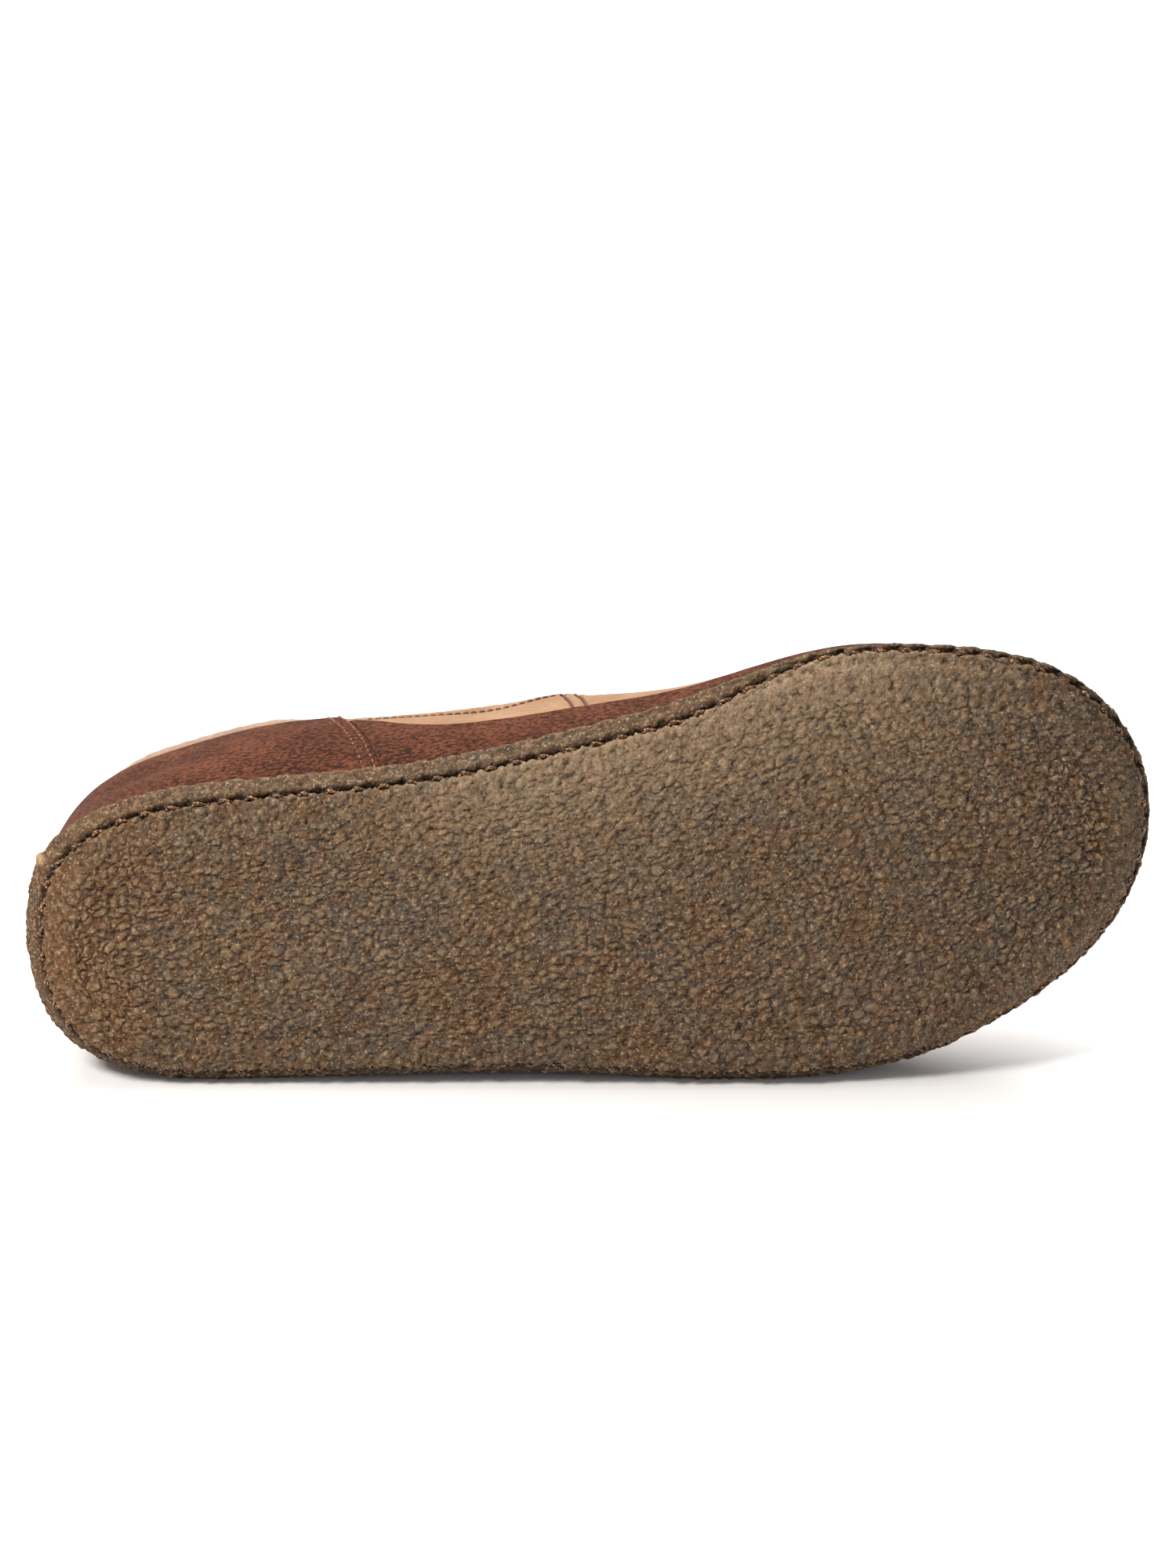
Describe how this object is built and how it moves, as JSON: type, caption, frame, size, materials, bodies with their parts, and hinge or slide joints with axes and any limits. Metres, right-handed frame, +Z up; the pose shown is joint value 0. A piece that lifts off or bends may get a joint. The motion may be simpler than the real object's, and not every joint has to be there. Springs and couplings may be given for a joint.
{
  "type": "moccasin slipper",
  "caption": "Low moccasin slipper for the left foot: a hollow suede upper with a raised plug seam, heel counter, foxing and rolled collar, stitched into a cupped crepe rubber sole.",
  "frame": {"origin": "on the floor under the middle of the lying shoe's box", "axes": "+X from the heel to the toe, +Y from the tread to the top of the upper, +Z up from the outer side that the shoe lies on to its inner side"},
  "size_m": [0.295, 0.0758, 0.1196],
  "materials": {
    "crepe_rubber": "matt crumbly crepe, grey-brown with tan and green-grey crumbs",
    "footbed": "felted wool pile",
    "tan_suede": "tan suede with a short nap",
    "brown_suede": "brown suede with a short nap",
    "collar_binding": "pale suede, rolled and stitched"
  },
  "bodies": {
    "root": {"outsole": "crepe_rubber", "insole": "footbed", "upper": "tan_suede", "foxing": "brown_suede", "heel_counter": "brown_suede", "collar_binding": "collar_binding"}
  },
  "joints": []
}
